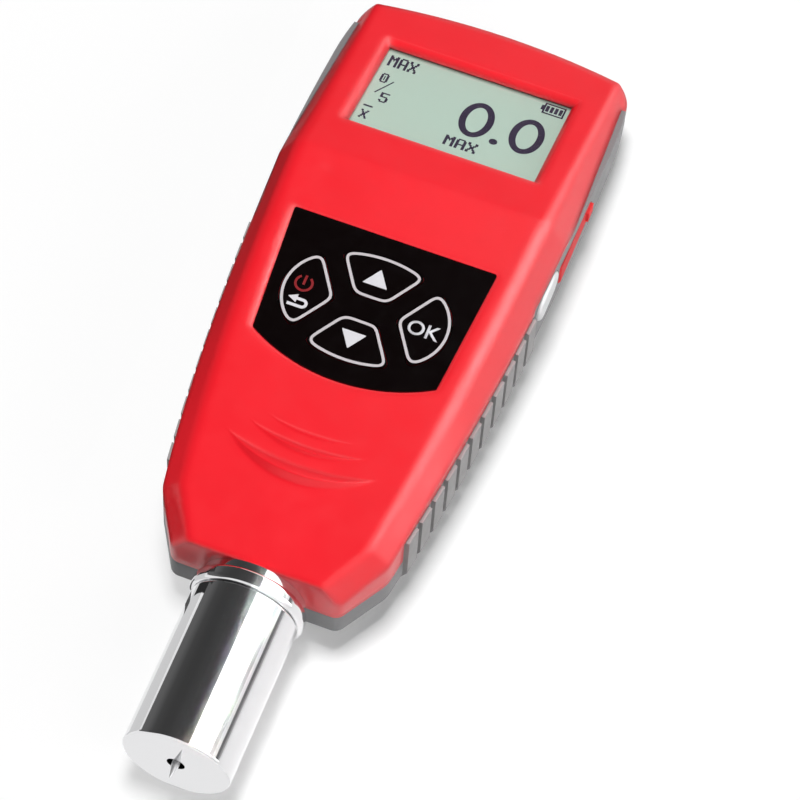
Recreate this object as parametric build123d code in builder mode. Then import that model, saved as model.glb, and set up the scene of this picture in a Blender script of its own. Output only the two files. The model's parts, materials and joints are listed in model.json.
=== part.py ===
"""Hand-held digital durometer: a two-part moulded case that carries a spring-loaded probe.

The rest face of the rear cover is the plane Z = 0, the probe points along -Y and lies in the plane X = 0.
All sizes are in millimetres and degrees.
"""
import os
from math import asin, atan, cos, degrees, radians, sin, sqrt, tan

from build123d import *

os.makedirs("parts", exist_ok=True)

# Clearances
seat_gap = 0.05
moving_gap = 0.15
body_gap = 0.3

# Overall sizes
case_length = 114.0
probe_reach = 32.35
indenter_reach = 2.5
axis_height = 11.0
crown_height = 24.4
front_height = 19.3
wall = 1.8

# Plan of the case
front_half_width = 14.1
shoulder_half_width = 19.2
shoulder_length = 8.65
side_half_width = 25.45
side_bow = 1.95
end_half_width = 24.2
end_run = 14.0
end_arch = 2.7
front_corner_radius = 2.0
shoulder_radius = 5.0
end_corner_radius = 2.5
least_corner_radius = 2.0

# Shape of the front cover
display_share = 0.3513
display_zone_length = display_share * case_length
display_tilt = 15.0
front_lip_rise = 3.9
shoulder_lip_rise = 5.7
side_lip_rise = 7.5
end_lip_rise = 1.0
front_bevel = 2.9
side_bevel = 3.2
end_bevel = 1.2
front_edge_radius = 0.9
shoulder_edge_radius = 2.0
side_edge_radius = 2.5
shoulder_run = 12.0
roof_skirt = 1.0

# Shape of the rear cover
cheek_drop = 0.6
cheek_end_inset = 6.0
knee_height = 6.5
hull_inset = 3.6
rest_edge_radius = 1.2

# Display
window_width = 33.0
window_share = 0.5293
window_height = window_share * display_zone_length
window_place = 0.502
window_from_crease = window_place * display_zone_length
funnel_border = 1.15
funnel_depth = 1.0
lens_thickness = 0.8
lens_margin = 0.8
lens_rebate = 0.4
lcd_thickness = 2.0
lcd_margin = 0.9
holder_wall = 0.7
holder_floor = 0.8

# Keypad
keypad_place = 0.2307
keypad_from_crease = keypad_place * case_length
overlay_top_half = 17.6
overlay_low_half = 15.75
overlay_top = 13.8
overlay_low = 9.4
overlay_bow = 4.4
overlay_corner = 0.4
overlay_thickness = 0.35
keypad_recess = 0.55
keypad_rim = 0.4
keypad_cut_rise = 0.3
key_oval_half = 14.3
key_oval_rise = 10.15
key_side_radius = 8.2
key_cap_radius = 19.6
key_diagonal = 57.0
key_waist = 2.05
key_waist_half = 2.9
side_key_tip = 5.35
key_corner = 0.9
key_proud = 0.1
key_travel = 0.4
key_flange = 0.6
key_flange_thickness = 0.6
dome_radius = 2.5
dome_height = 0.5

# Boards
board_thickness = 1.6
board_half_width = 17.0
board_front = 14.3
board_back = 25.0
pillar_radius = 1.8
pillar_x = 15.0
pillar_inset = 2.2
board_screw_radius = 0.8
board_screw_head = 1.5
board_screw_head_height = 0.9
board_screw_grip = 2.0
buzzer_radius = 4.5
buzzer_height = 2.5
buzzer_x = 9.0
buzzer_along = 18.0
side_board_thickness = 1.2
side_board_top = 10.2
side_board_inner = 13.8
side_board_outer = 22.4
side_board_front_from_crease = 11.3
side_board_length = 24.5
side_post_width = 3.0

# Thumb ridges
thumb_place = 0.1899
thumb_from_front = thumb_place * case_length
thumb_half_widths = (12.3, 9.25, 6.6)
thumb_tips = (-1.9, 0.85, 2.75)
thumb_belly_radius = 17.4
thumb_back_radius = 46.0
thumb_slope = 12.0
thumb_back_slope = 45.0
thumb_tool_height = 1.5
thumb_sink = 0.1

# Grips
grip_from_front = 13.5
grip_to_button = 1.0
grip_low = 4.5
grip_high = 16.4
grip_depth = 1.0
grip_base_depth = 0.15
rib_proud = 0.62
rib_spacing = 4.4
rib_length = 3.15
rib_inset = 0.5

# Side button and data port
button_from_crease = 7.1
button_length = 9.4
button_height = 5.6
button_z = 14.4
button_proud = 0.5
button_edge_radius = 0.6
button_flange = 1.0
button_flange_thickness = 1.0
button_flange_setback = 0.9
button_travel = 0.8
switch_width = 6.0
switch_depth = 3.6
switch_height = 6.0
switch_nub = 0.7
switch_nub_radius = 1.2
port_from_crease = 6.45
port_length = 15.5
port_height = 4.8
port_depth = 1.3
port_proud = 0.05
port_tab_length = 2.4
port_tab_height = 2.4
port_tab_inset = 0.4
port_tab_thickness = 0.5
port_plug_length = 7.0
port_plug_height = 2.4
port_plug_depth = 1.0
socket_width = 7.8
socket_height = 3.6
socket_depth = 8.0
socket_setback = 1.2
socket_shell = 0.4
socket_tongue = 0.7
socket_tongue_width = 4.6

# Probe
foot_radius = 9.0
foot_length = 28.2
foot_wall = 3.0
foot_edge_radius = 0.45
foot_hole_radius = 1.5
foot_bore_radius = 6.5
collar_radius = 9.65
collar_length = 2.8
collar_edge_radius = 0.9
neck_radius = 8.8
collar_seat_radius = 7.5
barrel_radius = 6.8
barrel_bore_radius = 5.2
barrel_into_foot = 10.0
barrel_inside_length = 29.5
saddle_half_width = 10.0
saddle_thickness = 2.0
saddle_front = 5.5
saddle_rear = 23.5
indenter_radius = 0.625
indenter_cone_angle = 30.0
indenter_flat_radius = 0.05
indenter_length = 10.0
spindle_radius = 2.5
spindle_start = 3.4
spindle_into_coil = 0.9
bush_gap = 0.05
front_bush_start = 4.0
front_bush_length = 6.0
stop_radius = 4.3
stop_thickness = 1.85
adjuster_to_bush = 3.0
adjuster_length = 4.0
adjuster_bore_radius = 2.9
rear_bush_to_coil = 1.5
rear_bush_length = 6.0
coil_bore_radius = 2.9
coil_length = 10.8
core_radius = 2.2
core_length = 6.5
cap_thickness = 1.5
cap_plug_length = 1.4
spring_radius = 3.5
spring_wire_radius = 0.35
spring_wire_sides = 8
spring_turns = 6

# Battery bay
cell_radius = 5.25
cell_length = 43.6
nub_radius = 1.9
nub_length = 1.0
cell_spacing = 11.2
contact_thickness = 0.4
contact_width = 8.0
contact_height = 8.0
bay_wall = 1.2
bay_height = 9.5
bay_side_gap = 0.4
door_half_width = 13.4
door_thickness = 1.8
door_lead = 3.65
door_tongue = 1.0
door_tongue_low = 0.8
door_tongue_high = 1.4
door_grip_count = 5
door_grip_pitch = 2.4
door_grip_width = 1.2
door_grip_length = 14.0
door_grip_depth = 0.4
door_grip_from_end = 20.0

# Housing screws
screw_radius = 1.1
screw_head_radius = 1.9
screw_head_height = 1.6
screw_head_seat = 3.6
screw_length = 7.0
boss_radius = 2.2
post_radius = 2.8
boss_seat = 6.0
front_screw_x = 12.6
front_screw_from_front = 11.65
end_screw_aside = 1.15

# Stations along the probe axis
overall_length = indenter_reach + probe_reach + case_length
foot_end = indenter_reach - overall_length / 2
case_front = foot_end + probe_reach
case_end = case_front + case_length
shoulder = case_front + shoulder_length
shoulder_end = shoulder + shoulder_run
side_end = case_end - end_run
crease = case_end - display_zone_length
probe_axis = Axis((0, 0, axis_height), (0, 1, 0))

# Crown of the face, from its fall between the crease and the front
crown_run = crease - case_front
crown_fall = crown_height - front_height
crown_radius = (crown_run**2 + crown_fall**2) / (2 * crown_fall)

# Plan of the case with sharp corners
with BuildSketch() as sharp_plan:
    with BuildLine():
        front_edge = Line((0, case_front), (front_half_width, case_front))
        facet = Line(front_edge @ 1, (shoulder_half_width, shoulder))
        side_arc = SagittaArc(facet @ 1, (side_half_width, side_end), -side_bow)
        turn_arc = TangentArc(side_arc @ 1, (end_half_width, case_end - end_arch), tangent=side_arc % 1)
        TangentArc((0, case_end), turn_arc @ 1, tangent=(1, 0))
        mirror(about=Plane.YZ)
    make_face()

corners = (
    (front_half_width, case_front, front_corner_radius),
    (shoulder_half_width, shoulder, shoulder_radius),
    (end_half_width, case_end - end_arch, end_corner_radius),
)


def outline(grow):
    """Plan of the case with rounded corners, grown outwards by grow."""
    with BuildSketch() as plan:
        add(sharp_plan.sketch)
        if grow:
            offset(amount=grow, kind=Kind.INTERSECTION)
        for side in (-1, 1):
            for x, y, radius in corners:
                corner = plan.vertices().sort_by_distance((side * x, y))[0]
                fillet(corner, radius=max(radius + grow, least_corner_radius))
    return plan.sketch


def case_body(grow):
    """Straight band over a drawn-in hull, grown outwards by grow."""
    with BuildPart() as body:
        with BuildSketch(Plane.XY.offset(knee_height)):
            add(outline(grow))
        extrude(amount=crown_height - knee_height)
        with BuildSketch(Plane.XY):
            add(outline(grow - hull_inset))
        with BuildSketch(Plane.XY.offset(knee_height)):
            add(outline(grow))
        loft(ruled=True)
    return body.part


def half_width(y):
    """Half width of the sharp plan at y."""
    if y < shoulder:
        return blend(y, case_front, shoulder, front_half_width, shoulder_half_width)
    arc = side_arc if y < side_end else turn_arc
    centre = arc.arc_center
    return centre.X + sqrt(arc.radius**2 - (y - centre.Y) ** 2)


def blend(y, start, stop, first, last):
    """Value at y on the straight line from first at start to last at stop."""
    return first + (last - first) * (y - start) / (stop - start)


def face_height(y):
    """Height of the face at y: a long crown in front of the crease, a straight slope behind it."""
    if y > crease:
        return crown_height - (y - crease) * tan(radians(display_tilt))
    return crown_height - crown_radius + sqrt(crown_radius**2 - (crease - y) ** 2)


def lip_height(y):
    """Height at which the straight lip of the front cover ends at y."""
    if y < shoulder:
        return axis_height + blend(y, case_front, shoulder, front_lip_rise, shoulder_lip_rise)
    if y > crease:
        return axis_height + blend(y, crease, case_end, side_lip_rise, end_lip_rise)
    run_y = min(y, shoulder_end)
    return axis_height + blend(run_y, shoulder, shoulder_end, shoulder_lip_rise, side_lip_rise)


def bevel_width(y):
    """Width of the side bevel at y, measured in plan."""
    if y < shoulder:
        return blend(y, case_front, shoulder, front_bevel, side_bevel)
    if y > crease:
        return blend(y, crease, case_end, side_bevel, end_bevel)
    return side_bevel


def edge_radius(y):
    """Radius between the side bevel and the face at y."""
    if y < shoulder:
        return blend(y, case_front, shoulder, front_edge_radius, shoulder_edge_radius)
    if y > crease:
        return blend(y, crease, case_end, side_edge_radius, front_edge_radius)
    run_y = min(y, shoulder_end)
    return blend(run_y, shoulder, shoulder_end, shoulder_edge_radius, side_edge_radius)


def roof_section(y, depth):
    """Cross-section under the face at y, moved inwards by depth, with round edges on the outside only."""
    lip_x = half_width(y) - depth
    top_x = lip_x - bevel_width(y)
    top_z = face_height(y) - depth
    foot_x = lip_x + roof_skirt
    foot_z = lip_height(y) - roof_skirt * (top_z - lip_height(y)) / bevel_width(y)
    with BuildSketch(Plane.XZ.offset(-y)) as section:
        with BuildLine():
            Polyline(
                (-foot_x, 0),
                (foot_x, 0),
                (foot_x, foot_z),
                (top_x, top_z),
                (-top_x, top_z),
                (-foot_x, foot_z),
                close=True,
            )
        make_face()
        if depth == 0:
            fillet(section.vertices().group_by(Axis.Y)[-1], radius=edge_radius(y))
    return section.sketch


def roof(depth):
    """Solid under the face, moved inwards by depth: front corners, crowned middle, sloped display end."""
    middle = (shoulder_end + crease) / 2
    zones = (
        ((case_front - roof_skirt, shoulder), True),
        ((shoulder, shoulder_end, middle, crease), False),
        ((crease, case_end + roof_skirt), True),
    )
    with BuildPart() as body:
        for stations, straight in zones:
            loft([roof_section(y, depth) for y in stations], ruled=straight)
    return body.part


# Working planes of the display and the keypad
display_plane = Plane((0, crease, crown_height), x_dir=(1, 0, 0)).rotated((-display_tilt, 0, 0))
display_wall = wall * cos(radians(display_tilt))
window_centre = (0, window_from_crease)
lens_top = lens_rebate - display_wall
lcd_top = lens_top - lens_thickness - seat_gap
lcd_width = window_width + 2 * lcd_margin
lcd_height = window_height + 2 * lcd_margin
holder_base = lcd_top - lcd_thickness - seat_gap
holder_underside = holder_base - holder_floor
holder_width = lcd_width + 2 * (seat_gap + holder_wall)
holder_height = lcd_height + 2 * (seat_gap + holder_wall)
keypad_y = crease - keypad_from_crease
keypad_tilt = degrees(asin(keypad_from_crease / crown_radius))
keypad_plane = Plane((0, keypad_y, face_height(keypad_y)), x_dir=(1, 0, 0)).rotated((keypad_tilt, 0, 0))
overlay_plane = keypad_plane.offset(-keypad_recess)
key_top = overlay_thickness + key_proud - keypad_recess
key_flange_top = -wall - moving_gap
key_bottom = key_flange_top - key_flange_thickness
board_top = key_bottom - key_travel - seat_gap - dome_height
board_plane = keypad_plane.offset(board_top)
pillars = [
    (side * pillar_x, along)
    for side in (-1, 1)
    for along in (pillar_inset - board_front, board_back - pillar_inset)
]

# Keypad outline, and the four keys cut from an oval
with BuildSketch() as overlay_outline:
    with BuildLine():
        top_edge = Line((-overlay_top_half, overlay_top), (overlay_top_half, overlay_top))
        right_edge = Line(top_edge @ 1, (overlay_low_half, -overlay_low))
        low_edge = SagittaArc(right_edge @ 1, (-overlay_low_half, -overlay_low), overlay_bow)
        Line(low_edge @ 1, top_edge @ 0)
    make_face()
    fillet(overlay_outline.vertices(), radius=overlay_corner)

key_lean = 1 / tan(radians(key_diagonal))
key_reach = 2 * key_oval_half

with BuildSketch() as up_key_outline:
    with Locations((0, key_oval_rise - key_cap_radius)):
        Circle(key_cap_radius)
    with BuildSketch(mode=Mode.INTERSECT):
        with BuildLine():
            Polyline(
                (-key_waist_half, key_waist),
                (key_waist_half, key_waist),
                (key_waist_half + key_reach * key_lean, key_waist + key_reach),
                (-key_waist_half - key_reach * key_lean, key_waist + key_reach),
                close=True,
            )
        make_face()
    fillet(up_key_outline.vertices(), radius=key_corner)

with BuildSketch() as ok_key_outline:
    with Locations((key_oval_half - key_side_radius, 0)):
        Circle(key_side_radius)
    with BuildSketch(mode=Mode.INTERSECT):
        with BuildLine():
            Polyline(
                (side_key_tip, 0),
                (side_key_tip + key_reach * key_lean, -key_reach),
                (side_key_tip + key_reach, -key_reach),
                (side_key_tip + key_reach, key_reach),
                (side_key_tip + key_reach * key_lean, key_reach),
                close=True,
            )
        make_face()
    fillet(ok_key_outline.vertices(), radius=key_corner)

key_outlines = {
    "key_up": up_key_outline.sketch,
    "key_down": mirror(up_key_outline.sketch, about=Plane.XZ),
    "key_ok": ok_key_outline.sketch,
    "key_power": mirror(ok_key_outline.sketch, about=Plane.YZ),
}

# Side stations of the push button and the data port
button_y = crease - button_from_crease
button_wall_x = half_width(button_y)
button_flange_x = button_wall_x - wall - button_flange_setback - button_flange_thickness
port_y = crease + port_from_crease
port_wall_x = half_width(port_y)
port_z = side_board_top + socket_height / 2
port_plane = Plane((port_wall_x, port_y, port_z), x_dir=(0, 1, 0), z_dir=(1, 0, 0))
button_plane = Plane((0, button_y, button_z), x_dir=(0, 1, 0), z_dir=(1, 0, 0))
side_board_y = crease - side_board_front_from_crease + side_board_length / 2
port_thickness = port_depth - seat_gap + port_proud
hinge_radius = port_thickness / 2
hinge_x = port_wall_x + port_proud - hinge_radius
hinge_y = port_y - port_length / 2 + hinge_radius


def port_outline(start, grow):
    """Side outline of the port cover from start to its round end, grown outwards by grow."""
    round_start = (port_length - port_height) / 2
    half = port_height / 2 + grow
    with BuildSketch() as side:
        with BuildLine():
            low_edge = Line((start, -half), (round_start, -half))
            round_end = ThreePointArc(low_edge @ 1, (round_start + half, 0), (round_start, half))
            Polyline(round_end @ 1, (start, half), (start, -half))
        make_face()
    return side.sketch


# Housing screw positions, the end ones at the corners of the display holder, and barrel saddles
holder_corner = display_plane.from_local_coords(
    (holder_width / 2, window_from_crease + holder_height / 2, -display_wall - seat_gap)
)
end_screw_x = holder_corner.X + end_screw_aside
end_screw_y = holder_corner.Y + sqrt((boss_radius + seat_gap) ** 2 - end_screw_aside**2)
screw_spots = [
    (side * x, y)
    for side in (-1, 1)
    for x, y in (
        (front_screw_x, case_front + front_screw_from_front),
        (end_screw_x, end_screw_y),
    )
]
saddle_spots = [(0, case_front + saddle_front), (0, case_front + saddle_rear)]

# Grips: a pocket that runs from behind the shoulder to the push button, a base and a row of ribs
grip_front = case_front + grip_from_front
grip_length = button_y - button_length / 2 - grip_to_button - grip_front
grip_height = grip_high - grip_low
grip_centre = (grip_front + grip_length / 2, grip_low + grip_height / 2)
rib_row_length = grip_length - 2 * rib_inset - rib_length
rib_count = round(rib_row_length / rib_spacing) + 1
rib_pitch = rib_row_length / (rib_count - 1)

with BuildPart() as grip_pocket:
    with BuildSketch(Plane.YZ):
        with Locations(grip_centre):
            Rectangle(grip_length, grip_height)
    extrude(amount=case_length, both=True)
    add(case_body(-grip_depth), mode=Mode.SUBTRACT)

with BuildPart() as grip_ribs:
    with BuildSketch(Plane.YZ):
        with Locations(grip_centre):
            with GridLocations(rib_pitch, 0, rib_count, 1):
                Rectangle(rib_length, grip_height - 2 * moving_gap)
    extrude(amount=case_length)
    add(case_body(rib_proud), mode=Mode.INTERSECT)

with BuildPart() as right_grip:
    with BuildSketch(Plane.YZ):
        with Locations(grip_centre):
            Rectangle(grip_length - 2 * moving_gap, grip_height - 2 * moving_gap)
    extrude(amount=case_length)
    add(case_body(-grip_base_depth), mode=Mode.INTERSECT)
    add(grip_ribs.part)
    add(case_body(seat_gap - grip_depth), mode=Mode.SUBTRACT)

with BuildPart() as left_grip:
    mirror(right_grip.part, about=Plane.YZ)

# Cheeks: behind the grips the rear cover's side walls rise to just under the lip of the front cover
cheek_front = grip_front + grip_length
cheek_end = case_end - cheek_end_inset


def cheeks(outer, inner, gap):
    """Band of the side walls between two growths of the plan, under the lip, grown by gap along and up."""
    low = cheek_front - gap
    high = cheek_end + gap
    rise = gap - cheek_drop
    with BuildPart() as band:
        with BuildSketch(Plane.XY.offset(knee_height)):
            add(outline(outer))
            add(outline(inner), mode=Mode.SUBTRACT)
        extrude(amount=crown_height)
        with BuildSketch(Plane.YZ):
            with BuildLine():
                Polyline(
                    (low, 0),
                    (low, lip_height(crease) + rise),
                    (crease, lip_height(crease) + rise),
                    (high, lip_height(high) + rise),
                    (high, 0),
                    close=True,
                )
            make_face()
        extrude(amount=case_length, both=True, mode=Mode.INTERSECT)
    return band.part


# Front cover: outer form
with BuildPart() as front_form:
    with BuildSketch(Plane.XY.offset(axis_height)):
        add(outline(0))
    extrude(amount=crown_height)
    add(roof(0), mode=Mode.INTERSECT)

with BuildPart() as front_cavity:
    with BuildSketch(Plane.XY.offset(axis_height)):
        add(outline(-wall))
    extrude(amount=crown_height)
    add(roof(wall), mode=Mode.INTERSECT)

# Front cover: saddles for the barrel, bosses for the housing screws
with BuildPart() as front_ribs:
    with BuildSketch(Plane.XY.offset(axis_height)):
        with Locations(*saddle_spots):
            Rectangle(2 * saddle_half_width, saddle_thickness)
    extrude(amount=crown_height)
    add(front_form.part, mode=Mode.INTERSECT)

with BuildPart() as front_bosses:
    with BuildSketch(Plane.XY.offset(boss_seat + seat_gap)):
        with Locations(*screw_spots):
            Circle(boss_radius)
    extrude(amount=crown_height)
    add(case_body(-wall / 2), mode=Mode.INTERSECT)
    add(roof(wall / 2), mode=Mode.INTERSECT)

# Thumb ridges: a gentle conical belly and a steep conical back
thumb_y = case_front + thumb_from_front
thumb_tilt = degrees(asin((crease - thumb_y) / crown_radius))
thumb_face = Plane((0, thumb_y, face_height(thumb_y)), x_dir=(1, 0, 0)).rotated((thumb_tilt, 0, 0))
thumb_plane = thumb_face.offset(-thumb_sink)
belly_sunk_radius = thumb_belly_radius + thumb_sink / tan(radians(thumb_slope))
back_sunk_radius = thumb_back_radius - thumb_sink / tan(radians(thumb_back_slope))

with BuildPart() as thumb_ridges:
    for half, tip in zip(thumb_half_widths, thumb_tips):
        with BuildSketch(thumb_plane):
            with Locations((0, tip + sqrt(thumb_belly_radius**2 - half**2))):
                Circle(belly_sunk_radius)
        extrude(amount=thumb_tool_height, taper=90 - thumb_slope)
        with BuildSketch(thumb_plane):
            with Locations((0, tip + sqrt(thumb_back_radius**2 - half**2))):
                Circle(back_sunk_radius)
        extrude(amount=thumb_tool_height, taper=thumb_back_slope - 90, mode=Mode.SUBTRACT)

with BuildPart() as front_cover:
    add(front_form.part)
    add(front_cavity.part, mode=Mode.SUBTRACT)
    add(front_ribs.part)
    add(front_bosses.part)
    with BuildSketch(board_plane):
        with Locations(*pillars):
            Circle(pillar_radius)
    extrude(amount=-board_top - wall / 2)
    with BuildSketch(board_plane):
        with Locations(*pillars):
            Circle(board_screw_radius + seat_gap)
    extrude(amount=board_screw_grip + seat_gap, mode=Mode.SUBTRACT)
    with BuildSketch(Plane.XY.offset(boss_seat)):
        with Locations(*screw_spots):
            Circle(screw_radius + seat_gap)
    extrude(amount=screw_head_seat + screw_length - boss_seat, mode=Mode.SUBTRACT)
    with BuildSketch(Plane.XZ.offset(-case_front + roof_skirt)):
        with Locations((0, axis_height)):
            Circle(barrel_radius + seat_gap)
    extrude(amount=-barrel_inside_length - cap_thickness - roof_skirt, mode=Mode.SUBTRACT)
    with BuildSketch(display_plane):
        with Locations(window_centre):
            Rectangle(window_width + 2 * funnel_border, window_height + 2 * funnel_border)
    extrude(amount=-funnel_depth, taper=degrees(atan(funnel_border / funnel_depth)), mode=Mode.SUBTRACT)
    with BuildSketch(display_plane):
        with Locations(window_centre):
            Rectangle(window_width, window_height)
    extrude(amount=-2 * wall, mode=Mode.SUBTRACT)
    with BuildSketch(display_plane.offset(-display_wall)):
        with Locations(window_centre):
            Rectangle(window_width + 2 * lens_margin, window_height + 2 * lens_margin)
    extrude(amount=lens_rebate, mode=Mode.SUBTRACT)
    with BuildSketch(overlay_plane):
        add(overlay_outline.sketch)
        offset(amount=seat_gap)
    extrude(
        amount=keypad_recess + keypad_cut_rise,
        taper=-degrees(atan(keypad_rim / keypad_recess)),
        mode=Mode.SUBTRACT,
    )
    with BuildSketch(keypad_plane):
        for key_outline in key_outlines.values():
            with BuildSketch(mode=Mode.ADD):
                add(key_outline)
                offset(amount=moving_gap)
    extrude(amount=-2 * wall, mode=Mode.SUBTRACT)
    add(grip_pocket.part, mode=Mode.SUBTRACT)
    add(cheeks(wall, -wall - seat_gap, seat_gap), mode=Mode.SUBTRACT)
    add(thumb_ridges.part)

# Rear cover: outer form and cavity
with BuildPart() as rear_form:
    add(case_body(0))
    fillet(rear_form.faces().sort_by(Axis.Z)[0].edges(), radius=rest_edge_radius)
    split(bisect_by=Plane.XY.offset(axis_height), keep=Keep.BOTTOM)

with BuildPart() as rear_cavity:
    add(case_body(-wall))
    split(bisect_by=Plane.XY.offset(wall), keep=Keep.TOP)

# Rear cover: saddles, screw posts, posts of the side board, and a battery bay whose cells end under the holder
door_slot_top = door_thickness + moving_gap
cell_z = door_slot_top + moving_gap + cell_radius
cell_top = cell_z + cell_radius
holder_rise = crown_height + holder_underside * cos(radians(display_tilt))
cell_end_along = (holder_rise - cell_top - body_gap) / sin(radians(display_tilt))
cell_end = display_plane.from_local_coords((0, cell_end_along, holder_underside)).Y
cell_start = cell_end - cell_length - nub_length
bay_length = cell_length + nub_length + 2 * contact_thickness
bay_centre = (0, cell_start - contact_thickness + bay_length / 2)
bay_width = cell_spacing + 2 * (cell_radius + bay_side_gap)
door_front = cell_start - door_lead
bay_floor_length = case_end - wall - door_front
bay_floor_centre = (0, door_front + bay_floor_length / 2)
side_posts = [
    (side_board_inner + side_post_width, side_board_y + side * (side_board_length / 2 - side_post_width))
    for side in (-1, 1)
]

with BuildPart() as rear_ribs:
    with BuildSketch(Plane.XY.offset(wall / 2)):
        with Locations(*saddle_spots):
            Rectangle(2 * saddle_half_width, saddle_thickness)
    extrude(amount=axis_height - wall / 2)
    with BuildSketch(Plane.XY.offset(wall / 2)):
        with Locations(*screw_spots):
            Circle(post_radius)
    extrude(amount=boss_seat - wall / 2)
    with BuildSketch(Plane.XY.offset(wall / 2)):
        with Locations(*side_posts):
            Rectangle(side_post_width, side_post_width)
    extrude(amount=side_board_top - side_board_thickness - wall / 2)
    with BuildSketch(Plane.XY.offset(door_slot_top)):
        with Locations(bay_floor_centre):
            Rectangle(2 * (door_half_width + door_tongue + wall), bay_floor_length + wall)
    extrude(amount=bay_wall)
    with BuildSketch(Plane.XY.offset(door_slot_top)):
        with Locations(bay_centre):
            Rectangle(bay_width + 2 * bay_wall, bay_length + 2 * bay_wall)
    extrude(amount=bay_height - door_slot_top)
    with BuildSketch(Plane.XY):
        with Locations(bay_centre):
            Rectangle(bay_width, bay_length)
    extrude(amount=axis_height, mode=Mode.SUBTRACT)
    add(case_body(-wall / 2), mode=Mode.INTERSECT)

with BuildPart() as rear_cover:
    add(rear_form.part)
    add(rear_cavity.part, mode=Mode.SUBTRACT)
    add(rear_ribs.part)
    add(cheeks(0, -wall, 0))
    with BuildSketch(Plane.XZ.offset(-case_front + roof_skirt)):
        with Locations((0, axis_height)):
            Circle(barrel_radius + seat_gap)
    extrude(amount=-barrel_inside_length - cap_thickness - roof_skirt, mode=Mode.SUBTRACT)
    with BuildSketch(Plane.XY):
        with Locations(*screw_spots):
            Circle(screw_head_radius + body_gap)
    extrude(amount=screw_head_seat, mode=Mode.SUBTRACT)
    with BuildSketch(Plane.XY):
        with Locations(*screw_spots):
            Circle(screw_radius + moving_gap)
    extrude(amount=boss_seat, mode=Mode.SUBTRACT)
    with BuildSketch(Plane.XY):
        with Locations((0, door_front + case_length / 2)):
            Rectangle(2 * (door_half_width + moving_gap), case_length)
    extrude(amount=door_slot_top, mode=Mode.SUBTRACT)
    with BuildSketch(Plane.XY.offset(door_tongue_low - moving_gap)):
        with Locations((0, door_front + case_length / 2)):
            Rectangle(2 * (door_half_width + door_tongue + moving_gap), case_length)
    extrude(amount=door_tongue_high - door_tongue_low + 2 * moving_gap, mode=Mode.SUBTRACT)
    add(grip_pocket.part, mode=Mode.SUBTRACT)
    with BuildSketch(button_plane):
        SlotOverall(button_length + 2 * moving_gap, button_height + 2 * moving_gap)
    extrude(amount=case_length, mode=Mode.SUBTRACT)
    with BuildSketch(port_plane.offset(-port_depth)):
        add(port_outline(-port_length / 2 - moving_gap, moving_gap))
    extrude(amount=case_length, mode=Mode.SUBTRACT)
    with BuildSketch(port_plane.offset(-2 * wall)):
        Rectangle(socket_width + 2 * moving_gap, socket_height + 2 * moving_gap)
    extrude(amount=2 * wall, mode=Mode.SUBTRACT)

# Battery door: slides out over the display end
with BuildPart() as battery_door:
    with BuildSketch(Plane.XY):
        with Locations((0, door_front + moving_gap + case_length / 2)):
            Rectangle(2 * door_half_width, case_length)
    extrude(amount=door_thickness)
    with BuildSketch(Plane.XY.offset(door_tongue_low)):
        with Locations((0, door_front + moving_gap + case_length / 2)):
            Rectangle(2 * (door_half_width + door_tongue), case_length)
    extrude(amount=door_tongue_high - door_tongue_low)
    add(rear_form.part, mode=Mode.INTERSECT)
    with BuildSketch(Plane.XY):
        with Locations((0, case_end - door_grip_from_end)):
            with GridLocations(0, door_grip_pitch, 1, door_grip_count):
                SlotOverall(door_grip_length, door_grip_width)
    extrude(amount=door_grip_depth, mode=Mode.SUBTRACT)

# Battery cells lie side by side and face opposite ways
with BuildPart() as battery_cells:
    for side, body_start, nub_start in (
        (-1, cell_start, cell_start + cell_length),
        (1, cell_start + nub_length, cell_start),
    ):
        with BuildSketch(Plane.XZ.offset(-body_start)):
            with Locations((side * cell_spacing / 2, cell_z)):
                Circle(cell_radius)
        extrude(amount=-cell_length)
        with BuildSketch(Plane.XZ.offset(-nub_start)):
            with Locations((side * cell_spacing / 2, cell_z)):
                Circle(nub_radius)
        extrude(amount=-nub_length)

with BuildPart() as battery_contacts:
    with BuildSketch(Plane.XZ.offset(-cell_start)):
        with Locations((0, cell_z)):
            Rectangle(cell_spacing + contact_width, contact_height)
    extrude(amount=contact_thickness)
    with BuildSketch(Plane.XZ.offset(-cell_start - cell_length - nub_length)):
        with Locations((0, cell_z)):
            with GridLocations(cell_spacing, 0, 2, 1):
                Rectangle(contact_width, contact_height)
    extrude(amount=-contact_thickness)

# Housing screws enter from the rest face
with BuildPart() as housing_screws:
    with BuildSketch(Plane.XY.offset(screw_head_seat)):
        with Locations(*screw_spots):
            Circle(screw_head_radius)
    extrude(amount=-screw_head_height)
    with BuildSketch(Plane.XY.offset(screw_head_seat)):
        with Locations(*screw_spots):
            Circle(screw_radius)
    extrude(amount=screw_length)
    with BuildSketch(Plane.XY.offset(screw_head_seat - screw_head_height)):
        with Locations(*screw_spots):
            Rectangle(2 * screw_radius, screw_radius / 2)
            Rectangle(screw_radius / 2, 2 * screw_radius)
    extrude(amount=screw_head_height / 2, mode=Mode.SUBTRACT)

# Display stack, from the clear window down to its holder
with BuildPart() as display_window:
    with BuildSketch(display_plane.offset(lens_top)):
        with Locations(window_centre):
            Rectangle(window_width + 2 * (lens_margin - seat_gap), window_height + 2 * (lens_margin - seat_gap))
    extrude(amount=-lens_thickness)

with BuildPart() as lcd_panel:
    with BuildSketch(display_plane.offset(lcd_top)):
        with Locations(window_centre):
            Rectangle(lcd_width, lcd_height)
    extrude(amount=-lcd_thickness)

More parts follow.
